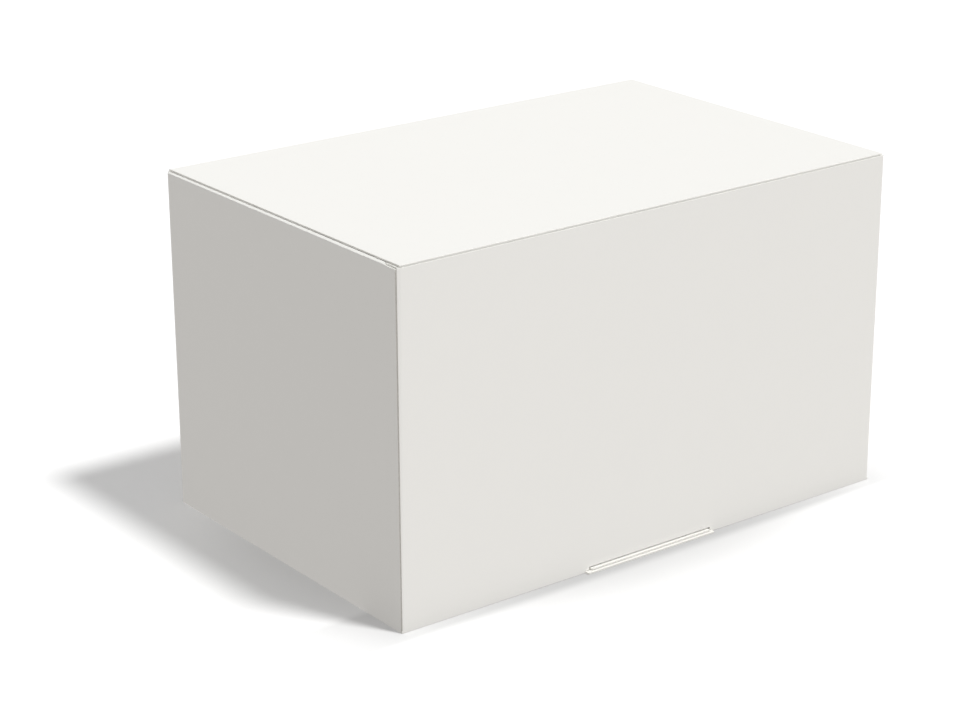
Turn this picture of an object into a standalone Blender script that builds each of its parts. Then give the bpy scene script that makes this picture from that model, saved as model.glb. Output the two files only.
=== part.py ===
# Tuck-top tray box in white carton board, folded up and closed.
# The real box is one die-cut sheet. Here each panel between two creases is an object of its own.
# X runs along the front, Y from the front to the back, Z up. The origin is under the middle, on the floor.

import math

import bmesh
import bpy

MM = 0.001

# Box, measured over the outside with the lid closed
LENGTH = 170 * MM
DEPTH = 110 * MM
HEIGHT = 100 * MM

# Board and its folds
BOARD = 0.5 * MM
CREASE_INSIDE = 0.1 * MM
CREASE_GAP = 0.2 * MM
PLY_GAP = 0.3 * MM
ARC_STEPS = 6
ROUNDING_STEPS = 3
SMOOTH_BELOW_DEG = 30
FOOT_ROUNDING = 0.3 * MM

# Rolled end walls
END_FRONT_SETBACK = 0.7 * MM
END_BACK_SETBACK = 1.5 * MM
RAW_EDGE_DROP = 0.1 * MM
ROLL_START = 5.4 * MM
ROLL_MITRE = 2.5 * MM
INNER_WALL_SETBACK = 0.8 * MM
LOCK_WIDTH = 14 * MM
LOCK_SPACING = 52 * MM
LOCK_TAPER = 1.2 * MM
LOCK_SIDE_CLEARANCE = 0.5 * MM
LOCK_FACE_CLEARANCE = 0.3 * MM
LOCK_FLOOR_CLEARANCE = 0.1 * MM

# Ears that hold the corners, folded back from the front and back walls into the end walls
EAR_LENGTH = 46 * MM
EAR_TAPER = 4 * MM
EAR_SHOULDER_START = 4.4 * MM
EAR_SHOULDER_RUN = 1.8 * MM
EAR_CORNER_RADIUS = 5 * MM

# Lid and tuck flap
LID_INSET_FRONT = 1.1 * MM
LID_INSET_BACK = 0.5 * MM
LID_GAP = 0.3 * MM
RIM_GAP = 0.1 * MM
FLAP_GAP = 0.3 * MM
FLAP_SIDE_GAP = 0.5 * MM
FLAP_TAPER = 1.5 * MM
FLAP_CORNER_RADIUS = 9 * MM

# Front lock: a tongue of the base, and the tab of the tuck flap that lies on it
TONGUE_WIDTH = 46.5 * MM
TONGUE_OUT = 1.8 * MM
TAB_WIDTH = 43.2 * MM
TAB_OUT = 0.7 * MM
TAB_GAP = 0.1 * MM
TAB_CORNER_RADIUS = 0.5 * MM
SLOT_HEADROOM = 0.35 * MM
SLOT_SIDE_CLEARANCE = 0.4 * MM

# Finishes
COATED_WHITE = (0.90, 0.892, 0.86, 1.0)
COATED_ROUGHNESS = 0.55
PLAIN_WHITE = (0.86, 0.85, 0.815, 1.0)
PLAIN_ROUGHNESS = 0.8
BOARD_METALLIC = 0.0

# Places that follow from the sizes
HALF_LENGTH = LENGTH / 2
FRONT_Y = (TONGUE_OUT - DEPTH) / 2
BACK_Y = FRONT_Y + DEPTH
CREASE_RADIUS = CREASE_INSIDE + BOARD
PLY_PITCH = BOARD + PLY_GAP
ROLL_WIDTH = 2 * PLY_PITCH + BOARD
ROLL_TOP = HEIGHT - BOARD - LID_GAP
ROLL_FOOT = ROLL_TOP - CREASE_RADIUS
WALL_FOOT = BOARD + CREASE_GAP
PANEL_UNDER_ROLL = ROLL_FOOT - CREASE_GAP
HINGE_Z = HEIGHT - BOARD
RIM_TOP = HINGE_Z - RIM_GAP
FLAP_FRONT_Y = FRONT_Y + BOARD + FLAP_GAP
FLAP_BACK_Y = FLAP_FRONT_Y + BOARD
FLAP_TOP = HEIGHT - CREASE_RADIUS - CREASE_GAP
TAB_BOTTOM = BOARD + TAB_GAP
TAB_TOP = TAB_BOTTOM + BOARD
TAB_CREASE_Z = TAB_BOTTOM + CREASE_RADIUS
FLAP_BOTTOM = TAB_CREASE_Z + CREASE_GAP
SIDES = (("left", -1), ("right", 1))


def clear_scene():
    for thing in list(bpy.data.objects):
        bpy.data.objects.remove(thing)


def board_material(name, colour, roughness):
    material = bpy.data.materials.new(name)
    material.use_nodes = True
    shader = material.node_tree.nodes["Principled BSDF"]
    shader.inputs["Base Color"].default_value = colour
    shader.inputs["Roughness"].default_value = roughness
    shader.inputs["Metallic"].default_value = BOARD_METALLIC
    material.diffuse_color = colour
    return material


def coated(name):
    return board_material(name, COATED_WHITE, COATED_ROUGHNESS)


def plain(name):
    return board_material(name, PLAIN_WHITE, PLAIN_ROUGHNESS)


def crease_empty(name, place, parent=None):
    """An empty on a fold line. What turns about the fold is parented to it."""
    empty = bpy.data.objects.new(name, None)
    empty.empty_display_size = CREASE_RADIUS
    bpy.context.collection.objects.link(empty)
    attach(empty, place, parent)
    return empty


def attach(thing, place, parent):
    """Puts the object at a place in the world, under its parent."""
    thing.parent = parent
    base = parent["place"] if parent else (0, 0, 0)
    thing.location = [at - from_ for at, from_ in zip(place, base)]
    thing["place"] = list(place)


def arc(centre, radius, start, end):
    """Points on a circle from one angle to another, in degrees, both ends included."""
    points = []
    for step in range(ARC_STEPS + 1):
        angle = math.radians(start + (end - start) * step / ARC_STEPS)
        points.append((centre[0] + radius * math.cos(angle), centre[1] + radius * math.sin(angle)))
    return points


def rounded_outline(corners):
    """A closed outline from (x, y, radius) corners, where a radius above zero rounds the corner."""
    points = []
    for index, (x, y, radius) in enumerate(corners):
        if radius <= 0:
            points.append((x, y))
            continue
        before = corners[index - 1]
        after = corners[(index + 1) % len(corners)]
        to_before = (before[0] - x, before[1] - y)
        to_after = (after[0] - x, after[1] - y)
        angle_before = math.atan2(to_before[1], to_before[0])
        angle_after = math.atan2(to_after[1], to_after[0])
        opening = (angle_after - angle_before) % math.tau
        opening = opening if opening < math.pi else opening - math.tau
        bisector = angle_before + opening / 2
        reach = radius / math.sin(abs(opening) / 2)
        centre = (x + reach * math.cos(bisector), y + reach * math.sin(bisector))
        turn = math.copysign(math.pi - abs(opening), opening)
        first = bisector + math.pi + turn / 2
        start, end = math.degrees(first), math.degrees(first - turn)
        points.extend(arc(centre, radius, start, end))
    return points


def prism(name, outline, axis, low, high, place, parent, material):
    """A closed solid: an outline in the plane across an axis, extruded from low to high along it."""
    mesh = bmesh.new()
    corners = []
    for first, second in outline:
        if axis == "X":
            point = (low, first, second)
        elif axis == "Y":
            point = (first, low, second)
        else:
            point = (first, second, low)
        corners.append(mesh.verts.new([at - from_ for at, from_ in zip(point, place)]))
    face = mesh.faces.new(corners)
    grown = bmesh.ops.extrude_face_region(mesh, geom=[face])
    moved = [piece for piece in grown["geom"] if isinstance(piece, bmesh.types.BMVert)]
    shift = [high - low if letter == axis else 0 for letter in "XYZ"]
    bmesh.ops.translate(mesh, verts=moved, vec=shift)
    bmesh.ops.recalc_face_normals(mesh, faces=mesh.faces)
    data = bpy.data.meshes.new(name)
    mesh.to_mesh(data)
    mesh.free()
    data.materials.append(material)
    data.shade_smooth()
    data.set_sharp_from_angle(angle=math.radians(SMOOTH_BELOW_DEG))
    thing = bpy.data.objects.new(name, data)
    bpy.context.collection.objects.link(thing)
    attach(thing, place, parent)
    return thing


def cut(thing, cutter):
    """Cuts one solid out of another with a Boolean, and keeps the cutter as a wire guide."""
    cutter.hide_render = True
    cutter.display_type = "WIRE"
    modifier = thing.modifiers.new("cut " + cutter.name, "BOOLEAN")
    modifier.operation = "DIFFERENCE"
    modifier.solver = "EXACT"
    modifier.object = cutter


def round_feet(thing):
    """Rounds the lower edges all round, where the sheet turns up into the walls."""
    mesh = bmesh.new()
    mesh.from_mesh(thing.data)
    lowest = min(vert.co.z for vert in mesh.verts)
    edges = []
    for edge in mesh.edges:
        at_foot = all(vert.co.z == lowest for vert in edge.verts)
        behind_tongue = all(vert.co.y > FRONT_Y - BOARD for vert in edge.verts)
        if at_foot and behind_tongue:
            edges.append(edge)
    bmesh.ops.bevel(
        mesh, geom=edges, offset=FOOT_ROUNDING, segments=ROUNDING_STEPS, profile=0.5, affect="EDGES"
    )
    mesh.to_mesh(thing.data)
    mesh.free()


def wall_section(outer_y, inward):
    """The plan of a wall along X whose two ends curl round into the ear creases."""
    ear_x = HALF_LENGTH - PLY_PITCH
    turn_x = ear_x - CREASE_RADIUS
    turn_y = outer_y + inward * CREASE_RADIUS
    side = 90 * inward
    outer = arc((-turn_x, turn_y), CREASE_RADIUS, 180, 180 + side)
    outer += arc((turn_x, turn_y), CREASE_RADIUS, -side, 0)
    inner = arc((turn_x, turn_y), CREASE_INSIDE, 0, -side)
    inner += arc((-turn_x, turn_y), CREASE_INSIDE, 180 + side, 180)
    return outer + inner


def build_base(tray):
    """The floor of the tray, with the lock tongue in front and the slots for the inner end walls."""
    ear_x = HALF_LENGTH - PLY_PITCH
    half_tongue = TONGUE_WIDTH / 2
    tongue_y = FRONT_Y - TONGUE_OUT
    outline = rounded_outline(
        [
            (-ear_x, FRONT_Y, 0),
            (-half_tongue, FRONT_Y, 0),
            (-half_tongue, tongue_y, TAB_CORNER_RADIUS),
            (half_tongue, tongue_y, TAB_CORNER_RADIUS),
            (half_tongue, FRONT_Y, 0),
            (ear_x, FRONT_Y, 0),
            (HALF_LENGTH, FRONT_Y + END_FRONT_SETBACK, 0),
            (HALF_LENGTH, BACK_Y - END_BACK_SETBACK, 0),
            (ear_x, BACK_Y, 0),
            (-ear_x, BACK_Y, 0),
            (-HALF_LENGTH, BACK_Y - END_BACK_SETBACK, 0),
            (-HALF_LENGTH, FRONT_Y + END_FRONT_SETBACK, 0),
        ]
    )
    board = coated("base_board")
    base = prism("base_panel", outline, "Z", 0, BOARD, (0, 0, 0), tray, board)
    round_feet(base)
    slot_depth = LOCK_WIDTH + 2 * LOCK_SIDE_CLEARANCE
    slot_width = BOARD + 2 * LOCK_FACE_CLEARANCE
    for side, sign in SIDES:
        for end, y in lock_places():
            name = "slot_cutter_" + side + "_" + end
            middle_x = sign * (HALF_LENGTH - ROLL_WIDTH + BOARD / 2)
            square = [
                (middle_x - slot_width / 2, y - slot_depth / 2),
                (middle_x + slot_width / 2, y - slot_depth / 2),
                (middle_x + slot_width / 2, y + slot_depth / 2),
                (middle_x - slot_width / 2, y + slot_depth / 2),
            ]
            place = (middle_x, y, 0)
            cutter = prism(name, square, "Z", -BOARD, 2 * BOARD, place, tray, board)
            cut(base, cutter)


def lock_places():
    """The middles of the two floor slots along an end wall."""
    middle = (FRONT_Y + BACK_Y) / 2
    return (("front", middle - LOCK_SPACING / 2), ("back", middle + LOCK_SPACING / 2))


def build_front_wall(tray):
    """The outermost wall, curled at both ends, with the slot that lets the lock tab out."""
    section = wall_section(FRONT_Y, 1)
    place = (0, FRONT_Y, WALL_FOOT)
    board = coated("front_board")
    wall = prism("front_wall", section, "Z", WALL_FOOT, RIM_TOP, place, tray, board)
    half_slot = TAB_WIDTH / 2 + SLOT_SIDE_CLEARANCE
    slot_top = TAB_TOP + SLOT_HEADROOM
    opening = [
        (-half_slot, 0),
        (half_slot, 0),
        (half_slot, slot_top),
        (-half_slot, slot_top),
    ]
    near = FRONT_Y - BOARD
    far = FRONT_Y + 2 * BOARD
    cutter = prism("front_slot_cutter", opening, "Y", near, far, place, tray, board)
    cut(wall, cutter)


def build_back_wall(tray):
    """The wall that carries the lid along its top crease."""
    section = wall_section(BACK_Y, -1)
    top = HINGE_Z - CREASE_GAP
    place = (0, BACK_Y, WALL_FOOT)
    prism("back_wall", section, "Z", WALL_FOOT, top, place, tray, coated("back_board"))


def build_ears(tray):
    """Corner ears, trapped between the outer and inner plies of the end walls."""
    outer_x = HALF_LENGTH - PLY_PITCH
    low = WALL_FOOT
    under_roll = PANEL_UNDER_ROLL - PLY_GAP
    start = CREASE_RADIUS + CREASE_GAP
    shoulder = FRONT_Y + EAR_SHOULDER_START
    for side, sign in SIDES:
        place = (sign * outer_x, FRONT_Y + start, low)
        front = rounded_outline(
            [
                (FRONT_Y + start, low, 0),
                (FRONT_Y + EAR_LENGTH, low + EAR_TAPER, EAR_CORNER_RADIUS),
                (FRONT_Y + EAR_LENGTH, under_roll - EAR_TAPER, EAR_CORNER_RADIUS),
                (shoulder + EAR_SHOULDER_RUN, under_roll, 0),
                (shoulder, RIM_TOP, 0),
                (FRONT_Y + start, RIM_TOP, 0),
            ]
        )
        span = sorted((sign * outer_x, sign * (outer_x - BOARD)))
        prism("front_ear_" + side, front, "X", *span, place, tray, plain("front_ear_board_" + side))
        back = rounded_outline(
            [
                (BACK_Y - start, low, 0),
                (BACK_Y - start, under_roll, 0),
                (BACK_Y - EAR_LENGTH, under_roll - EAR_TAPER, EAR_CORNER_RADIUS),
                (BACK_Y - EAR_LENGTH, low + EAR_TAPER, EAR_CORNER_RADIUS),
            ]
        )
        place = (sign * outer_x, BACK_Y - start, low)
        prism("back_ear_" + side, back, "X", *span, place, tray, plain("back_ear_board_" + side))


def build_end_walls(tray):
    """Each end wall rolls over at the top: an outer ply, a bridging strip and an inner ply."""
    front = FRONT_Y + END_FRONT_SETBACK
    back = BACK_Y - END_BACK_SETBACK
    strip_front = FRONT_Y + ROLL_START
    raw_top = ROLL_TOP - RAW_EDGE_DROP
    outer = [
        (front, WALL_FOOT),
        (back, WALL_FOOT),
        (back, PANEL_UNDER_ROLL),
        (strip_front - CREASE_GAP, PANEL_UNDER_ROLL),
        (strip_front - CREASE_GAP, raw_top),
        (front, raw_top),
    ]
    for side, sign in SIDES:
        face = sign * HALF_LENGTH
        span = sorted((face, face - sign * BOARD))
        place = (face, 0, WALL_FOOT)
        prism("end_wall_outer_" + side, outer, "X", *span, place, tray, coated("end_board_" + side))
        build_roll(tray, side, sign, strip_front, back)
        build_inner_wall(tray, side, sign)


def build_roll(tray, side, sign, front, back):
    """The strip across the top of an end wall, curved down at both creases and mitred in front."""
    outer_x = HALF_LENGTH - CREASE_RADIUS
    inner_x = HALF_LENGTH - ROLL_WIDTH + CREASE_RADIUS
    section = arc((outer_x, ROLL_FOOT), CREASE_RADIUS, 0, 90)
    section += arc((inner_x, ROLL_FOOT), CREASE_RADIUS, 90, 180)
    section += arc((inner_x, ROLL_FOOT), CREASE_INSIDE, 180, 90)
    section += arc((outer_x, ROLL_FOOT), CREASE_INSIDE, 90, 0)
    section = [(sign * x, z) for x, z in section]
    place = (sign * HALF_LENGTH, front, ROLL_FOOT)
    board = coated("roll_board_" + side)
    strip = prism("end_roll_" + side, section, "Y", front, back, place, tray, board)
    for vert in strip.data.vertices:
        if vert.co.y < (back - front) / 2:
            vert.co.y += ROLL_MITRE * abs(vert.co.x) / ROLL_WIDTH


def build_inner_wall(tray, side, sign):
    """The inner ply, with two tabs for the floor slots. The roll turns its coated side inwards."""
    front = FRONT_Y + INNER_WALL_SETBACK
    back = BACK_Y - INNER_WALL_SETBACK
    foot = BOARD + LOCK_FACE_CLEARANCE
    tip = LOCK_FLOOR_CLEARANCE
    roll_front = FRONT_Y + ROLL_START + ROLL_MITRE
    outline = [(front, foot)]
    for _, y in lock_places():
        outline += [
            (y - LOCK_WIDTH / 2, foot),
            (y - LOCK_WIDTH / 2 + LOCK_TAPER, tip),
            (y + LOCK_WIDTH / 2 - LOCK_TAPER, tip),
            (y + LOCK_WIDTH / 2, foot),
        ]
    outline += [
        (back, foot),
        (back, PANEL_UNDER_ROLL),
        (roll_front, PANEL_UNDER_ROLL),
        (front, PANEL_UNDER_ROLL - (roll_front - front)),
    ]
    inner_face = sign * (HALF_LENGTH - ROLL_WIDTH)
    span = sorted((inner_face, inner_face + sign * BOARD))
    place = (inner_face, 0, foot)
    prism("end_wall_inner_" + side, outline, "X", *span, place, tray, coated("inner_board_" + side))


def lid_half_width(y):
    """The lid narrows a little from its hinge to its front."""
    along = (y - FLAP_FRONT_Y) / (BACK_Y - FLAP_FRONT_Y)
    return HALF_LENGTH - LID_INSET_FRONT + along * (LID_INSET_FRONT - LID_INSET_BACK)


def build_lid(hinge):
    """The lid, hinged on the back crease, with its front edge turned down towards the tuck flap."""
    bend = (FLAP_FRONT_Y + CREASE_RADIUS, HEIGHT - CREASE_RADIUS)
    section = arc((BACK_Y - BOARD, HINGE_Z), BOARD, 0, 90)
    section += arc(bend, CREASE_RADIUS, 90, 180)
    section += arc(bend, CREASE_INSIDE, 180, 90)
    place = (0, BACK_Y, HINGE_Z)
    span = (-HALF_LENGTH, HALF_LENGTH)
    lid = prism("lid_panel", section, "X", *span, place, hinge, coated("lid_board"))
    for vert in lid.data.vertices:
        vert.co.x = math.copysign(lid_half_width(vert.co.y + BACK_Y), vert.co.x)


def build_tuck_flap(fold):
    """The flap that slides down inside the front wall, and the lock tab along its foot."""
    half_top = HALF_LENGTH - ROLL_WIDTH - FLAP_SIDE_GAP
    half_foot = half_top - FLAP_TAPER
    outline = rounded_outline(
        [
            (-half_foot, FLAP_BOTTOM, FLAP_CORNER_RADIUS),
            (half_foot, FLAP_BOTTOM, FLAP_CORNER_RADIUS),
            (half_top, FLAP_TOP, 0),
            (-half_top, FLAP_TOP, 0),
        ]
    )
    place = (0, FLAP_BACK_Y, FLAP_TOP)
    prism("tuck_flap", outline, "Y", FLAP_FRONT_Y, FLAP_BACK_Y, place, fold, coated("flap_board"))
    bend = (FLAP_BACK_Y - CREASE_RADIUS, TAB_CREASE_Z)
    section = [(FRONT_Y - TAB_OUT, TAB_TOP), (FRONT_Y - TAB_OUT, TAB_BOTTOM)]
    section += arc(bend, CREASE_RADIUS, -90, 0)
    section += arc(bend, CREASE_INSIDE, 0, -90)
    half_tab = TAB_WIDTH / 2
    place = (0, FLAP_BACK_Y, TAB_CREASE_Z)
    prism("lock_tab", section, "X", -half_tab, half_tab, place, fold, coated("tab_board"))


def build_box():
    clear_scene()
    tray = crease_empty("tray", (0, 0, 0))
    lid_hinge = crease_empty("lid_hinge", (0, BACK_Y, HINGE_Z), tray)
    flap_fold = crease_empty("tuck_flap_fold", (0, FLAP_BACK_Y, FLAP_TOP), lid_hinge)
    build_base(tray)
    build_front_wall(tray)
    build_back_wall(tray)
    build_ears(tray)
    build_end_walls(tray)
    build_lid(lid_hinge)
    build_tuck_flap(flap_fold)


build_box()
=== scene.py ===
import math

import bmesh
import bpy
from mathutils import Matrix, Vector


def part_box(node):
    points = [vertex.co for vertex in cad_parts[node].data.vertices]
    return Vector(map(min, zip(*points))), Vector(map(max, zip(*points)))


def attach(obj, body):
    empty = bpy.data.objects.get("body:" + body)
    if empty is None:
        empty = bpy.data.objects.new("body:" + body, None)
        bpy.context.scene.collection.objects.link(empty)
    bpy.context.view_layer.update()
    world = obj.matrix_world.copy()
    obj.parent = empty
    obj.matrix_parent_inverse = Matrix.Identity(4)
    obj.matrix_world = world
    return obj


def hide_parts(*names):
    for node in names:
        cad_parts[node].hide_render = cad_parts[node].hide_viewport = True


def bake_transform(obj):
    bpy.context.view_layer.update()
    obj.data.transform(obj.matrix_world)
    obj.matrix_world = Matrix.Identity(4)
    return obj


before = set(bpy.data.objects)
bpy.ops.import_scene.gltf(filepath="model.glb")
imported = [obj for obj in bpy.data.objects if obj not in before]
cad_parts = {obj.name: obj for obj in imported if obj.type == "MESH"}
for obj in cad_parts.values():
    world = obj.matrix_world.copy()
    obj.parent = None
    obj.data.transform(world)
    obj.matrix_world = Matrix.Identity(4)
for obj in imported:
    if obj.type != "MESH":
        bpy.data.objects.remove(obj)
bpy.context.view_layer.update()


# Floor of the tray. One panel of white folding board, coated side down, with
# the front lock tongue and four die-cut slots for the tabs of the end walls.
# The creases round it belong to the walls, which turn up from its edges.
MM = 0.001
HAIR = 0.02 * MM
SAME_PLACE = 0.001 * MM
SHARP = math.radians(30)
BOARD = 0.5 * MM
CUT_ROUNDING = 0.05 * MM
CREASE_ROUNDING = 0.15 * MM
FOOT_TURN = 0.8 * MM
LEFT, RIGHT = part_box("base_panel")[0].x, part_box("base_panel")[1].x
FRONT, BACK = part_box("front_wall")[0].y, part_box("back_wall")[1].y
TONGUE_LEFT, TONGUE_RIGHT = -23.5 * MM, 22.7 * MM
TONGUE_FRONT = FRONT - 1.5 * MM
TONGUE_CORNER = 0.5 * MM
LOCK_HALF = 7 * MM
LOCK_PLAY = 0.5 * MM
LOCK_FROM_MIDDLE = 26 * MM
LOCK_MIDDLES = [(FRONT + BACK) / 2 + end * LOCK_FROM_MIDDLE for end in (-1, 1)]
LOCK_SLOT_OUTER, LOCK_SLOT_INNER = 1.3 * MM, 2.4 * MM
COATED_WHITE = (0.90, 0.892, 0.86, 1)
PLAIN_WHITE = (0.83, 0.82, 0.785, 1)
CUT_WHITE = (0.85, 0.84, 0.80, 1)
BOARD_SHEEN = 0.06
CLOUD_SCALE = 140
FIBRE_SCALE = 1900
FIBRE_STRETCH = (1, 0.45, 0.7)
TOOTH_SCALE = 5200
TOOTH_HEIGHT = 0.02 * MM


def fibre_group():
    """Paper as it looks close to: cloudy formation, short fibres, uneven gloss and a faint tooth."""
    tree = bpy.data.node_groups.new("paper_fibres", "ShaderNodeTree")
    for name, kind in (("Colour", "Color"), ("Clouding", "Float"), ("Fibres", "Float"),
                       ("Roughness", "Float"), ("Gloss change", "Float"), ("Tooth", "Float")):
        tree.interface.new_socket(name, in_out="INPUT", socket_type="NodeSocket" + kind)
    for name, kind in (("Colour", "Color"), ("Roughness", "Float"), ("Normal", "Vector")):
        tree.interface.new_socket(name, in_out="OUTPUT", socket_type="NodeSocket" + kind)
    nodes, links = tree.nodes, tree.links
    given, made = nodes.new("NodeGroupInput"), nodes.new("NodeGroupOutput")
    place = nodes.new("ShaderNodeTexCoord").outputs["Object"]

    def noise(scale, detail, stretch=None):
        """A noise that is fixed to the board and goes from minus a half to a half."""
        source = place
        if stretch:
            mapping = nodes.new("ShaderNodeMapping")
            mapping.inputs["Scale"].default_value = stretch
            links.new(place, mapping.inputs["Vector"])
            source = mapping.outputs["Vector"]
        cloud = nodes.new("ShaderNodeTexNoise")
        cloud.inputs["Scale"].default_value = scale
        cloud.inputs["Detail"].default_value = detail
        links.new(source, cloud.inputs["Vector"])
        centred = nodes.new("ShaderNodeMath")
        centred.operation = "SUBTRACT"
        centred.inputs[1].default_value = 0.5
        links.new(cloud.outputs["Fac"], centred.inputs[0])
        return centred.outputs[0]

    def add_share(start, pattern, share):
        """The start, a number or a socket, plus that share of the pattern."""
        mix = nodes.new("ShaderNodeMath")
        mix.operation = "MULTIPLY_ADD"
        links.new(pattern, mix.inputs[0])
        links.new(share, mix.inputs[1])
        if isinstance(start, int):
            mix.inputs[2].default_value = start
        else:
            links.new(start, mix.inputs[2])
        return mix.outputs[0]

    clouds = noise(CLOUD_SCALE, detail=3)
    fibres = noise(FIBRE_SCALE, detail=4, stretch=FIBRE_STRETCH)
    tooth = noise(TOOTH_SCALE, detail=2)
    shade = add_share(1, clouds, given.outputs["Clouding"])
    shade = add_share(shade, fibres, given.outputs["Fibres"])
    tint = nodes.new("ShaderNodeVectorMath")
    tint.operation = "SCALE"
    links.new(given.outputs["Colour"], tint.inputs[0])
    links.new(shade, tint.inputs["Scale"])
    links.new(tint.outputs["Vector"], made.inputs["Colour"])
    gloss = add_share(given.outputs["Roughness"], clouds, given.outputs["Gloss change"])
    links.new(gloss, made.inputs["Roughness"])
    bump = nodes.new("ShaderNodeBump")
    bump.inputs["Distance"].default_value = TOOTH_HEIGHT
    links.new(given.outputs["Tooth"], bump.inputs["Strength"])
    links.new(tooth, bump.inputs["Height"])
    links.new(bump.outputs["Normal"], made.inputs["Normal"])
    return tree


paper_fibres = fibre_group()


def board_finish(name, colour, roughness, clouding, fibres, gloss_change, tooth):
    """A finish of the board: its own shader, with the shared fibre pattern in front of it."""
    finish = bpy.data.materials.new(name)
    finish.use_nodes = True
    nodes, links = finish.node_tree.nodes, finish.node_tree.links
    shader = nodes["Principled BSDF"]
    shader.inputs["Specular IOR Level"].default_value = BOARD_SHEEN
    pattern = nodes.new("ShaderNodeGroup")
    pattern.node_tree = paper_fibres
    pattern.inputs["Colour"].default_value = colour
    pattern.inputs["Roughness"].default_value = roughness
    pattern.inputs["Clouding"].default_value = clouding
    pattern.inputs["Fibres"].default_value = fibres
    pattern.inputs["Gloss change"].default_value = gloss_change
    pattern.inputs["Tooth"].default_value = tooth
    links.new(pattern.outputs["Colour"], shader.inputs["Base Color"])
    links.new(pattern.outputs["Roughness"], shader.inputs["Roughness"])
    links.new(pattern.outputs["Normal"], shader.inputs["Normal"])
    finish.diffuse_color = colour
    return finish


coated_side = board_finish("coated_white_side", COATED_WHITE, roughness=0.52, clouding=0.012,
                           fibres=0.012, gloss_change=0.12, tooth=0.12)
plain_side = board_finish("plain_inner_side", PLAIN_WHITE, roughness=0.8, clouding=0.03,
                          fibres=0.05, gloss_change=0.10, tooth=0.45)
cut_edge = board_finish("cut_board_edge", CUT_WHITE, roughness=0.92, clouding=0.06,
                        fibres=0.25, gloss_change=0.05, tooth=0.9)


def lay_sheet(name, middle, width, height, turn):
    """A flat sheet of that size at that place, turned to face outwards, and open for shaping."""
    bpy.ops.object.select_all(action="DESELECT")
    bpy.ops.mesh.primitive_plane_add(size=1, location=middle, rotation=[math.radians(a) for a in turn])
    sheet = bpy.context.object
    sheet.name = sheet.data.name = name
    sheet.scale = (width, height, 1)
    bpy.ops.object.transform_apply(location=True, rotation=True, scale=True)
    bpy.ops.object.mode_set(mode="EDIT")
    return sheet


def pick(kind, wanted, also=lambda part: True):
    """Selects the vertices, edges or faces in hand whose middle answers wanted(x, y, z).

    What is selected also answers also(part), which looks at the faces beside it."""
    bpy.ops.mesh.select_mode(type=kind)
    bpy.ops.mesh.select_all(action="DESELECT")
    mesh = bmesh.from_edit_mesh(bpy.context.object.data)
    for part in {"VERT": mesh.verts, "EDGE": mesh.edges, "FACE": mesh.faces}[kind]:
        corners = [part] if kind == "VERT" else part.verts
        middle = sum((corner.co for corner in corners), Vector()) / len(corners)
        if also(part) and wanted(*middle):
            part.select_set(True)
    mesh.select_flush_mode()
    bmesh.update_edit_mesh(bpy.context.object.data)


def score(point, normal, throw_away=False):
    """Cuts the selected faces along a plane, and may throw away what lies on the normal's side."""
    bpy.ops.mesh.bisect(plane_co=point, plane_no=normal, clear_outer=throw_away, threshold=SAME_PLACE)
    if throw_away:
        bpy.ops.mesh.select_all(action="SELECT")
        bpy.ops.mesh.delete_loose()


def score_all(point, normal):
    """Cuts the whole sheet along a plane."""
    bpy.ops.mesh.select_all(action="SELECT")
    score(point, normal)


def pull(x, y, z):
    """Draws the selected edges out into a new strip of the sheet."""
    bpy.ops.mesh.extrude_region_move(TRANSFORM_OT_translate={"value": (x, y, z)})


def close_board(sheet, folds=((lambda x, y, z: True, CREASE_ROUNDING),), joined=lambda x, y, z: False):
    """Makes board of the sheet, plain inside and raw at its cut edges, and softens folds and cut edges.

    Each fold is given as the place of its edges and the rounding outside. The edges that
    run on into the next piece, answered by joined, stay sharp."""
    coated, plain, cut = range(3)

    def finishes(edge):
        """The finishes of the faces beside an edge."""
        return {face.material_index for face in edge.link_faces}

    bpy.ops.object.mode_set(mode="OBJECT")
    for finish in (coated_side, plain_side, cut_edge):
        sheet.data.materials.append(finish)
    thickness = sheet.modifiers.new("thickness", "SOLIDIFY")
    thickness.thickness = BOARD
    thickness.offset = -1
    thickness.use_even_offset = True
    thickness.material_offset = plain
    thickness.material_offset_rim = cut
    bpy.ops.object.modifier_apply(modifier=thickness.name)
    bpy.ops.object.mode_set(mode="EDIT")
    for wanted, rounding in folds:
        pick("EDGE", wanted, lambda edge: finishes(edge) == {coated} and edge.calc_face_angle() > SHARP)
        bpy.ops.mesh.bevel(offset=rounding, segments=4, profile=0.5, affect="EDGES", clamp_overlap=True)
    pick("EDGE", lambda x, y, z: not joined(x, y, z),
         lambda edge: len(finishes(edge)) == 2 and cut in finishes(edge))
    bpy.ops.mesh.bevel(offset=CUT_ROUNDING, segments=2, profile=0.5, affect="EDGES", clamp_overlap=True,
                       miter_outer="ARC")
    bpy.ops.object.mode_set(mode="OBJECT")
    bpy.ops.object.shade_smooth_by_angle(angle=SHARP)
    flatness = sheet.modifiers.new("flatness", "WEIGHTED_NORMAL")
    flatness.weight = 100
    flatness.keep_sharp = True
    bpy.ops.object.modifier_apply(modifier=flatness.name)


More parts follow.
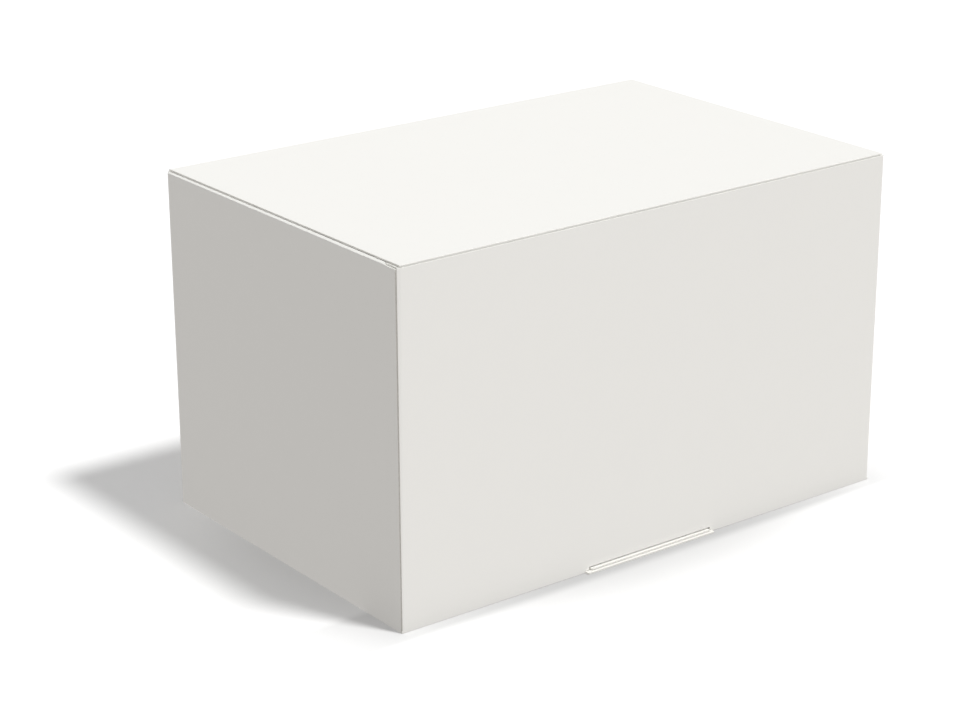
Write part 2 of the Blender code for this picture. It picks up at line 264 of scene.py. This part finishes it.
floor = lay_sheet(
    "tray_floor", ((LEFT + RIGHT) / 2, (FRONT + BACK) / 2, 0),
    RIGHT - LEFT - 2 * FOOT_TURN, BACK - FRONT - 2 * FOOT_TURN, (180, 0, 0),
)
for x in (TONGUE_LEFT, TONGUE_RIGHT, LEFT + LOCK_SLOT_OUTER, LEFT + LOCK_SLOT_INNER,
          RIGHT - LOCK_SLOT_INNER, RIGHT - LOCK_SLOT_OUTER):
    score_all((x, 0, 0), (1, 0, 0))
for y in LOCK_MIDDLES:
    for end in (-1, 1):
        score_all((0, y + end * (LOCK_HALF + LOCK_PLAY), 0), (0, 1, 0))
pick("EDGE", lambda x, y, z: TONGUE_LEFT < x < TONGUE_RIGHT and y < FRONT + FOOT_TURN + HAIR)
pull(0, TONGUE_FRONT - FRONT - FOOT_TURN, 0)
pick("VERT", lambda x, y, z: y < TONGUE_FRONT + HAIR)
bpy.ops.mesh.bevel(offset=TONGUE_CORNER, segments=4, affect="VERTICES")
pick("FACE", lambda x, y, z: LOCK_SLOT_OUTER < RIGHT - abs(x) < LOCK_SLOT_INNER
     and any(abs(y - middle) < LOCK_HALF for middle in LOCK_MIDDLES))
bpy.ops.mesh.delete(type="FACE")
close_board(floor, joined=lambda x, y, z: abs(x) > RIGHT - FOOT_TURN - HAIR
            or y > BACK - FOOT_TURN - HAIR or abs(y - FRONT - FOOT_TURN) < HAIR)
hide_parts("base_panel")
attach(floor, "tray")


# Front wall and its two ears, one piece of board. A shallow groove runs above
# the crease at its foot, and a slot there lets the lock tab out. The ears fold
# back at the corners and bend in behind the outer plies of the end walls.
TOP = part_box("lid_panel")[1].z
GROOVE = 0.03 * MM
FOOT_STEPS = ((0.15 * MM, GROOVE), (0.15 * MM, -GROOVE), (0.55 * MM, 0))
WALL_FOOT = sum(drop for drop, _ in FOOT_STEPS)
RIM = TOP - 0.52 * MM
FRONT_CORNER_ROUNDING = 0.12 * MM
FRONT_RIGHT_LEAN = 0.28 * MM
FOLD_WIDTH = 1.0 * MM
FOLD_DEPTH_LEFT, FOLD_DEPTH_RIGHT = (0, 0.55 * MM), (0.3 * MM, 0.3 * MM)
TAB_SLOT_LEFT, TAB_SLOT_RIGHT = -22.1 * MM, 22.1 * MM
TAB_SLOT_TOP = 1.45 * MM
FOOT_BESIDE_TAB = 0.6 * MM
EAR_PLANE = 0.62 * MM
EAR_BEND = 0.6 * MM
EAR_SHOULDER, EAR_SHOULDER_END = 6.1 * MM, 6.5 * MM
EAR_END = 46 * MM
EAR_TOP = TOP - 1.9 * MM
EAR_TAPER = 4 * MM
EAR_ROUNDING = 5 * MM


def shift(x, y, z):
    """Moves what is selected."""
    bpy.ops.transform.translate(value=(x, y, z))


def turn_foot(x, y):
    """Draws the lower edge in hand down past the groove and turns it under, towards (x, y)."""
    for drop, depth in FOOT_STEPS:
        pull(x * depth, y * depth, -drop)
    pull(x * FOOT_TURN, y * FOOT_TURN, 0)


def draw_ear(corner, plane, inwards, profile):
    """Draws an ear out from the end of a wall: profile gives its depths, with its top at each."""
    side = 1 if corner > 0 else -1
    here = Vector((corner, plane))

    def at_end(x, y):
        """Whether (x, y) lies at the end that the ear has reached."""
        return abs(x - here.x) < HAIR and abs(y - here.y) < HAIR

    pick("EDGE", lambda x, y, z: at_end(x, y) and z > WALL_FOOT)
    for depth, top in profile:
        there = Vector((side * (RIGHT - EAR_PLANE), plane + inwards * depth))
        pull(there.x - here.x, there.y - here.y, 0)
        here = there
        mesh = bmesh.from_edit_mesh(bpy.context.object.data)
        height = max(vert.co.z for vert in mesh.verts if vert.select)
        pick("VERT", lambda x, y, z: at_end(x, y) and z > height - HAIR)
        shift(0, 0, top - height)
        pick("EDGE", lambda x, y, z: at_end(x, y))
    pick("VERT", lambda x, y, z: at_end(x, y) and z < WALL_FOOT + HAIR)
    shift(0, 0, EAR_TAPER)
    pick("VERT", lambda x, y, z: at_end(x, y))
    bpy.ops.mesh.bevel(offset=EAR_ROUNDING, segments=6, affect="VERTICES")


front_wall = lay_sheet(
    "front_wall_with_ears", ((LEFT + RIGHT) / 2, FRONT, (WALL_FOOT + RIM) / 2),
    RIGHT - LEFT, RIM - WALL_FOOT, (90, 0, 0),
)
for x in (LEFT + FOLD_WIDTH, TONGUE_LEFT, TAB_SLOT_LEFT, TAB_SLOT_RIGHT, TONGUE_RIGHT, RIGHT - FOLD_WIDTH):
    score_all((x, 0, 0), (1, 0, 0))
pick("FACE", lambda x, y, z: TAB_SLOT_LEFT < x < TAB_SLOT_RIGHT)
score((0, 0, TAB_SLOT_TOP), (0, 0, 1))
pick("FACE", lambda x, y, z: TAB_SLOT_LEFT < x < TAB_SLOT_RIGHT and z < TAB_SLOT_TOP)
bpy.ops.mesh.delete(type="FACE")
pick("EDGE", lambda x, y, z: z < WALL_FOOT + HAIR and not TONGUE_LEFT < x < TONGUE_RIGHT)
turn_foot(0, 1)
pick("EDGE", lambda x, y, z: abs(z - WALL_FOOT) < HAIR
     and (TONGUE_LEFT < x < TAB_SLOT_LEFT or TAB_SLOT_RIGHT < x < TONGUE_RIGHT))
pull(0, 0, FOOT_BESIDE_TAB - WALL_FOOT)
draw_ear(LEFT, FRONT, 1, (
    (EAR_BEND, RIM), (EAR_SHOULDER, RIM), (EAR_SHOULDER_END, EAR_TOP), (EAR_END, EAR_TOP - EAR_TAPER),
))
draw_ear(RIGHT, FRONT, 1, ((EAR_BEND, RIM), (EAR_SHOULDER, EAR_TOP), (EAR_END, EAR_TOP - EAR_TAPER)))
for corner, depths in ((LEFT, FOLD_DEPTH_LEFT), (RIGHT, FOLD_DEPTH_RIGHT)):
    for height, depth in zip((WALL_FOOT, RIM), depths):
        pick("VERT", lambda x, y, z: abs(z - height) < HAIR and (
            abs(x - corner) < HAIR or (x * corner > 0 and FRONT + HAIR < y < FRONT + EAR_BEND + HAIR)))
        shift(0, depth, 0)
pick("VERT", lambda x, y, z: abs(x - RIGHT) < HAIR and abs(z - RIM) < HAIR)
shift(-FRONT_RIGHT_LEAN, 0, 0)
close_board(
    front_wall,
    folds=((lambda x, y, z: z > WALL_FOOT, FRONT_CORNER_ROUNDING),
           (lambda x, y, z: z < HAIR, CREASE_ROUNDING)),
    joined=lambda x, y, z: y > FRONT + FOOT_TURN - HAIR and z < BOARD + HAIR,
)
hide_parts("front_wall", "front_ear_left", "front_ear_right")
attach(front_wall, "tray")


# Back wall and its two ears, made and folded like the front one. It has no
# slot, its ears stay under the rolls all along, and its top runs on into the
# crease that the lid hinges on.
HINGE_START = TOP - 1.3 * MM
BACK_LEFT, BACK_RIGHT = LEFT + 0.52 * MM, RIGHT - 0.52 * MM

back_wall = lay_sheet(
    "back_wall_with_ears", (0, BACK, (WALL_FOOT + HINGE_START) / 2),
    BACK_RIGHT - BACK_LEFT, HINGE_START - WALL_FOOT, (90, 0, 180),
)
pick("EDGE", lambda x, y, z: z < WALL_FOOT + HAIR)
turn_foot(0, -1)
for corner in (BACK_LEFT, BACK_RIGHT):
    draw_ear(corner, BACK, -1, ((EAR_BEND, EAR_TOP), (EAR_END, EAR_TOP - EAR_TAPER)))
close_board(back_wall, joined=lambda x, y, z: z > HINGE_START - HAIR
            or (y < BACK - FOOT_TURN + HAIR and z < BOARD + HAIR))
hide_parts("back_wall", "back_ear_left", "back_ear_right")
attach(back_wall, "tray")


# Rolled end walls. Each is one strip of board that goes up outside, over a
# narrow crowned bridge, and down inside to two tabs in the floor. The bridge
# starts with a slanted cut behind the front ear, where a raw edge shows.
END_FACE = RIGHT - 0.02 * MM
END_FRONT, END_BACK = FRONT + 0.55 * MM, BACK - 1.15 * MM
END_LEAN = 0.7 * MM
RAW_TOP = TOP - 0.95 * MM
ROLL_EDGE = TOP - 0.82 * MM
ROLL_CROWN = 0.3 * MM
ROLL_ROUNDING = 0.14 * MM
ROLL_WIDTH = 2.1 * MM
ROLL_START = 5.4 * MM
ROLL_SLANT = 2.5 * MM
SLIT = 0.1 * MM
INNER_FOOT = 0.8 * MM
INNER_SHOULDER = TOP - 8.5 * MM
INNER_SETBACK = 0.8 * MM
LOCK_DEPTH = 0.7 * MM
LOCK_TIP = 0.83


def rolled_end_wall(name, side, nodes):
    """One end wall, on the left for side -1 and on the right for side 1."""
    face = side * END_FACE
    inner = side * (END_FACE - ROLL_WIDTH)
    slant_end = FRONT + ROLL_START + ROLL_SLANT
    inner_front = FRONT + INNER_SETBACK

    def on_inner(x):
        """Whether x lies in the inner ply."""
        return side * x < END_FACE - ROLL_WIDTH + HAIR

    wall = lay_sheet(
        name, (face, (END_FRONT + END_BACK) / 2, (WALL_FOOT + RAW_TOP) / 2),
        END_BACK - END_FRONT, RAW_TOP - WALL_FOOT, (90, 0, 90 * side),
    )
    pick("VERT", lambda x, y, z: z > RAW_TOP - HAIR)
    shift(0, END_LEAN, 0)
    score_all((0, FRONT + ROLL_START - SLIT, 0), (0, 1, 0))
    pick("EDGE", lambda x, y, z: z < WALL_FOOT + HAIR)
    turn_foot(-side, 0)
    pick("EDGE", lambda x, y, z: z > RAW_TOP - HAIR and y > FRONT + ROLL_START)
    pull(0, 0, ROLL_EDGE - RAW_TOP)
    pull(-side * ROLL_WIDTH / 2, 0, ROLL_CROWN)
    pull(-side * ROLL_WIDTH / 2, 0, -ROLL_CROWN)
    pull(0, 0, INNER_FOOT - ROLL_EDGE)
    pick("FACE", lambda x, y, z: on_inner(x) or z > RAW_TOP)
    score((face, FRONT + ROLL_START, 0), (-side * ROLL_SLANT, -ROLL_WIDTH, 0), throw_away=True)
    pick("FACE", lambda x, y, z: on_inner(x))
    score((0, BACK - INNER_SETBACK, 0), (0, 1, 0), throw_away=True)
    pick("FACE", lambda x, y, z: on_inner(x))
    score((0, 0, INNER_SHOULDER), (0, 0, 1))
    pick("EDGE", lambda x, y, z: on_inner(x) and z < INNER_SHOULDER and abs(y - slant_end) < HAIR)
    pull(0, inner_front - slant_end, 0)
    pick("VERT", lambda x, y, z: on_inner(x) and z > INNER_SHOULDER - HAIR and y < inner_front + HAIR)
    shift(0, 0, inner_front - slant_end)
    for middle in LOCK_MIDDLES:
        for end in (-1, 1):
            pick("FACE", lambda x, y, z: on_inner(x))
            score((0, middle + end * LOCK_HALF, 0), (0, 1, 0))
        pick("EDGE", lambda x, y, z: on_inner(x) and z < INNER_FOOT + HAIR and abs(y - middle) < LOCK_HALF)
        pull(0, 0, -LOCK_DEPTH)
        bpy.ops.transform.resize(value=(1, LOCK_TIP, 1), center_override=(inner, middle, 0))
    close_board(
        wall,
        folds=((lambda x, y, z: z > RAW_TOP, ROLL_ROUNDING), (lambda x, y, z: z < HAIR, CREASE_ROUNDING)),
        joined=lambda x, y, z: (z < BOARD + HAIR and abs(side * x - END_FACE + FOOT_TURN) < HAIR)
        or (z > RAW_TOP - HAIR and abs(y - FRONT - ROLL_START) < SLIT + HAIR),
    )
    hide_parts(*nodes)
    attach(wall, "tray")


rolled_end_wall("rolled_end_wall_left", -1,
                ("end_wall_outer_left", "end_roll_left", "end_wall_inner_left"))
rolled_end_wall("rolled_end_wall_right", 1,
                ("end_wall_outer_right", "end_roll_right", "end_wall_inner_right"))


# Lid. A flat panel of the board with raw edges at both sides, which lies on the
# crowned tops of the end walls. Its front edge is folded down to carry the flap.
LID_LEFT_BACK, LID_LEFT_FRONT = LEFT + 0.9 * MM, LEFT + 1.13 * MM
LID_RIGHT = RIGHT - 0.42 * MM
LID_FRONT, FLAP_FACE = FRONT + 0.82 * MM, FRONT + 0.87 * MM
LID_LIP = TOP - 0.65 * MM
HINGE_END = BACK - 1.0 * MM

lid = lay_sheet(
    "lid", ((LID_LEFT_BACK + LID_RIGHT) / 2, (LID_FRONT + HINGE_END) / 2, TOP),
    LID_RIGHT - LID_LEFT_BACK, HINGE_END - LID_FRONT, (0, 0, 0),
)
pick("VERT", lambda x, y, z: x < 0 and y < 0)
shift(LID_LEFT_FRONT - LID_LEFT_BACK, 0, 0)
pick("EDGE", lambda x, y, z: y < LID_FRONT + HAIR)
pull(0, FLAP_FACE - LID_FRONT, LID_LIP - TOP)
close_board(lid, joined=lambda x, y, z: y > HINGE_END - HAIR or z < LID_LIP + HAIR)
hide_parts("lid_panel")
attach(lid, "lid")


# Hinge crease. The board between the back wall and the lid, which bends when
# the lid opens. The line pressed into its inner side makes it turn there.
HINGE_MIDDLE = (HINGE_START + TOP) / 2

hinge_crease = lay_sheet(
    "lid_hinge_crease", (0, BACK, HINGE_MIDDLE),
    BACK_RIGHT - BACK_LEFT, TOP - HINGE_START, (90, 0, 180),
)
score_all((0, 0, HINGE_MIDDLE), (0, 0, 1))
pick("EDGE", lambda x, y, z: z > TOP - HAIR)
pull(0, (HINGE_END - BACK) / 2, 0)
pull(0, (HINGE_END - BACK) / 2, 0)
pick("VERT", lambda x, y, z: x < 0 and z > TOP - HAIR)
shift(LID_LEFT_BACK - BACK_LEFT, 0, 0)
pick("VERT", lambda x, y, z: x > 0 and z > TOP - HAIR)
shift(LID_RIGHT - BACK_RIGHT, 0, 0)
close_board(hinge_crease, joined=lambda x, y, z: z < HINGE_START + HAIR or y < HINGE_END + HAIR)
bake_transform(hinge_crease)


# Tuck flap. It hangs from the lid's front crease, slides down inside the front
# wall, and has rounded lower corners so that it finds its way in.
FLAP_HALF = RIGHT - 2.6 * MM
FLAP_HEAD, HEAD_FOOT = RIGHT - 1.3 * MM, TOP - 4 * MM
FLAP_TAPER = 1.5 * MM
FLAP_TOP = TOP - 1.2 * MM
FLAP_FOOT = 1.4 * MM
FLAP_ROUNDING = 9 * MM
TAB_LEFT, TAB_RIGHT = -21.7 * MM, 21.6 * MM

flap = lay_sheet(
    "tuck_flap_board", (0, FLAP_FACE, (FLAP_FOOT + FLAP_TOP) / 2),
    2 * FLAP_HALF, FLAP_TOP - FLAP_FOOT, (90, 0, 0),
)
pick("VERT", lambda x, y, z: z < FLAP_FOOT + HAIR)
bpy.ops.transform.resize(value=(1 - FLAP_TAPER / FLAP_HALF, 1, 1), center_override=(0, 0, 0))
bpy.ops.mesh.bevel(offset=FLAP_ROUNDING, segments=10, affect="VERTICES")
for x in (TAB_LEFT, TAB_RIGHT):
    score_all((x, 0, 0), (1, 0, 0))
score_all((0, 0, HEAD_FOOT), (0, 0, 1))
for side in (-1, 1):
    pick("VERT", lambda x, y, z: z > FLAP_TOP - HAIR and abs(x - side * FLAP_HALF) < HAIR)
    shift(side * (FLAP_HEAD - FLAP_HALF), 0, 0)
close_board(flap, joined=lambda x, y, z: z > FLAP_TOP - HAIR
            or (z < FLAP_FOOT + HAIR and TAB_LEFT < x < TAB_RIGHT))
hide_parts("tuck_flap")
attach(flap, "flap")


# Tuck crease. The board between the lid's front edge and the tuck flap, which
# closes to a tight fold as the flap swings in under the opening lid.
tuck_crease = lay_sheet(
    "tuck_flap_crease", (0, FLAP_FACE, (FLAP_TOP + LID_LIP) / 2),
    2 * FLAP_HEAD, LID_LIP - FLAP_TOP, (90, 0, 0),
)
for share in (0.25, 0.5, 0.75):
    score_all((0, 0, FLAP_TOP + share * (LID_LIP - FLAP_TOP)), (0, 0, 1))
close_board(tuck_crease, joined=lambda x, y, z: z > LID_LIP - HAIR or z < FLAP_TOP + HAIR)
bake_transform(tuck_crease)


# Lock tab. The foot of the tuck flap is creased forwards into a short tab that
# comes out through the slot and lies on the tongue of the floor.
TAB_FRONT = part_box("lock_tab")[0].y
TAB_TOP = 1.1 * MM
TAB_CORNER = 0.4 * MM

tab = lay_sheet(
    "lock_tab_board", ((TAB_LEFT + TAB_RIGHT) / 2, FLAP_FACE, (TAB_TOP + FLAP_FOOT) / 2),
    TAB_RIGHT - TAB_LEFT, FLAP_FOOT - TAB_TOP, (90, 0, 0),
)
pick("EDGE", lambda x, y, z: z < TAB_TOP + HAIR)
pull(0, TAB_FRONT - FLAP_FACE, 0)
pick("VERT", lambda x, y, z: y < TAB_FRONT + HAIR)
bpy.ops.mesh.bevel(offset=TAB_CORNER, segments=3, affect="VERTICES")
close_board(tab, folds=(), joined=lambda x, y, z: z > FLAP_FOOT - HAIR)
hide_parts("lock_tab")
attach(tab, "flap")


# Studio floor. A white floor that keeps the shadow, with a wide soft painted shade round
# the box and a narrow painted shade along its front. The camera, a mirror or glass sees
# it as it is, and the light that it throws up at the box is dimmer.
FLOOR_SIZE = 8
FLOOR_WHITE = (0.99, 0.99, 0.99, 1)
BOUNCE = (0.709, 0.690, 0.677, 1)
# Painted light: an even glow on the floor, seen only by the camera, a mirror or glass, that lightens the
# shadow.
SHADOW_LIFT = 0.075
# Painted shade on the floor: centre, half size, spread, where the fade starts, and how deep the shade is.
WIDE_PAINTED_SHADE = {
    "centre": (0, -6.7 * MM, 0), "half": (6 * MM, 6.4 * MM, 0), "spread": (115 * MM, 81 * MM, 1),
    "deepest": 0.44, "depth": 0.427,
}
FRONT_PAINTED_SHADE = {
    "centre": (-1.5 * MM, -48.3 * MM, 0), "half": (73 * MM, 8.4 * MM, 0), "spread": (50 * MM, 4.1 * MM, 1),
    "deepest": -0.23, "depth": 0.266,
}

bpy.ops.object.select_all(action="DESELECT")
bpy.ops.mesh.primitive_plane_add(size=FLOOR_SIZE, location=(0, 0, 0))
ground = bpy.context.object
ground.name = "studio_floor"
paint = bpy.data.materials.new("studio_floor_white")
paint.use_nodes = True
nodes, links = paint.node_tree.nodes, paint.node_tree.links
nodes.remove(nodes["Principled BSDF"])
seen = nodes.new("ShaderNodeBsdfDiffuse")


def painted_shade(centre, half, spread, deepest, depth):
    """A painted shade: a mask that takes depth off 1 round the centre, as far as the half size, and fades
    beyond it.

    The fade starts at deepest, a share of the spread, and ends with the spread."""
    place = nodes.new("ShaderNodeTexCoord").outputs["Object"]
    for operation, value in (("SUBTRACT", centre), ("ABSOLUTE", (0, 0, 0)), ("SUBTRACT", half),
                             ("MAXIMUM", (0, 0, 0)), ("DIVIDE", spread)):
        step = nodes.new("ShaderNodeVectorMath")
        step.operation = operation
        step.inputs[1].default_value = value
        links.new(place, step.inputs[0])
        place = step.outputs["Vector"]
    away = nodes.new("ShaderNodeVectorMath")
    away.operation = "LENGTH"
    links.new(place, away.inputs[0])
    ramp = nodes.new("ShaderNodeMapRange")
    ramp.interpolation_type = "SMOOTHSTEP"
    ramp.inputs["From Min"].default_value = deepest
    ramp.inputs["To Min"].default_value = 1 - depth
    links.new(away.outputs["Value"], ramp.inputs["Value"])
    return ramp.outputs["Result"]


def looked_at(nodes, links):
    """One for what the camera, a mirror or glass looks at, and nothing for the light on the box."""
    path = nodes.new("ShaderNodeLightPath")
    looked = path.outputs["Is Camera Ray"]
    for ray in ("Is Glossy Ray", "Is Transmission Ray"):
        more = nodes.new("ShaderNodeMath")
        more.operation = "MAXIMUM"
        links.new(looked, more.inputs[0])
        links.new(path.outputs[ray], more.inputs[1])
        looked = more.outputs[0]
    return looked


# Painted shade: the two masks darken the floor's colour, and the narrow one along the front also dims the
# glow that lights the box from below.
painted_front_shade = painted_shade(**FRONT_PAINTED_SHADE)
both_painted_shades = nodes.new("ShaderNodeMath")
both_painted_shades.operation = "MULTIPLY"
links.new(painted_shade(**WIDE_PAINTED_SHADE), both_painted_shades.inputs[0])
links.new(painted_front_shade, both_painted_shades.inputs[1])
glow = nodes.new("ShaderNodeEmission")
for colour, mask, shader in ((FLOOR_WHITE, both_painted_shades.outputs[0], seen), (BOUNCE, painted_front_shade, glow)):
    shaded = nodes.new("ShaderNodeVectorMath")
    shaded.operation = "SCALE"
    shaded.inputs[0].default_value = colour[:3]
    links.new(mask, shaded.inputs["Scale"])
    links.new(shaded.outputs["Vector"], shader.inputs["Color"])
# Painted light: the faint even glow added to the floor as the camera sees it, which lightens the shadow on
# it.
lift = nodes.new("ShaderNodeEmission")
lift.inputs["Strength"].default_value = SHADOW_LIFT
lifted = nodes.new("ShaderNodeAddShader")
links.new(seen.outputs["BSDF"], lifted.inputs[0])
links.new(lift.outputs["Emission"], lifted.inputs[1])
either = nodes.new("ShaderNodeMixShader")
links.new(looked_at(nodes, links), either.inputs["Fac"])
links.new(glow.outputs["Emission"], either.inputs[1])
links.new(lifted.outputs["Shader"], either.inputs[2])
links.new(either.outputs["Shader"], nodes["Material Output"].inputs["Surface"])
ground.data.materials.append(paint)


# Surround and lamp. The camera, a mirror or glass sees plain white behind the
# box. The box is lit by a grey surround, brightest in front, and by one soft
# lamp high up in front at the right.
SKY = (0.455, 0.455, 0.455, 1)
BRIGHT_SIDE = (0.15, -0.35, 0)
SKY_WHITE = (1, 1, 1, 1)
LAMP_TOWARDS = Vector((0.21, -0.397, 1.0))
LAMP_STRENGTH = 2.01
LAMP_ANGLE = 8

world = bpy.data.worlds.new("studio")
bpy.context.scene.world = world
world.use_nodes = True
nodes, links = world.node_tree.nodes, world.node_tree.links
nodes.clear()
around = nodes.new("ShaderNodeBackground")
around.inputs["Color"].default_value = SKY
side = nodes.new("ShaderNodeTexCoord")
towards = nodes.new("ShaderNodeVectorMath")
towards.operation = "DOT_PRODUCT"
towards.inputs[1].default_value = BRIGHT_SIDE
links.new(side.outputs["Generated"], towards.inputs[0])
level = nodes.new("ShaderNodeMath")
level.operation = "ADD"
level.inputs[1].default_value = 1
links.new(towards.outputs["Value"], level.inputs[0])
links.new(level.outputs[0], around.inputs["Strength"])
white = nodes.new("ShaderNodeBackground")
white.inputs["Color"].default_value = SKY_WHITE
either = nodes.new("ShaderNodeMixShader")
out = nodes.new("ShaderNodeOutputWorld")
links.new(looked_at(nodes, links), either.inputs["Fac"])
links.new(around.outputs["Background"], either.inputs[1])
links.new(white.outputs["Background"], either.inputs[2])
links.new(either.outputs["Shader"], out.inputs["Surface"])

lamp = bpy.data.objects.new("soft_lamp", bpy.data.lights.new("soft_lamp", "SUN"))
lamp.data.energy = LAMP_STRENGTH
lamp.data.angle = math.radians(LAMP_ANGLE)
lamp.location = LAMP_TOWARDS
lamp.rotation_mode = "QUATERNION"
lamp.rotation_quaternion = LAMP_TOWARDS.to_track_quat("Z", "Y")
bpy.context.collection.objects.link(lamp)


# Camera. It stands to the left in front of the box, a little above it. Its place,
# turn and lens were fitted to the straight edges of the box in the photograph.
CAMERA_PLACE = (-435.51 * MM, -546.81 * MM, 297.39 * MM)
CAMERA_TURN, CAMERA_DOWN, CAMERA_ROLL = 37.346, 20.148, -0.078
CAMERA_LENS, CAMERA_SENSOR = 96.885, 36

camera = bpy.data.objects.new("camera", bpy.data.cameras.new("camera"))
camera.data.lens = CAMERA_LENS
camera.data.sensor_width = CAMERA_SENSOR
camera.matrix_world = (
    Matrix.Translation(CAMERA_PLACE)
    @ Matrix.Rotation(-math.radians(CAMERA_TURN), 4, "Z")
    @ Matrix.Rotation(math.radians(90 - CAMERA_DOWN), 4, "X")
    @ Matrix.Rotation(math.radians(CAMERA_ROLL), 4, "Z")
)
bpy.context.collection.objects.link(camera)
bpy.context.scene.camera = camera
bpy.context.scene.view_settings.view_transform = "Standard"
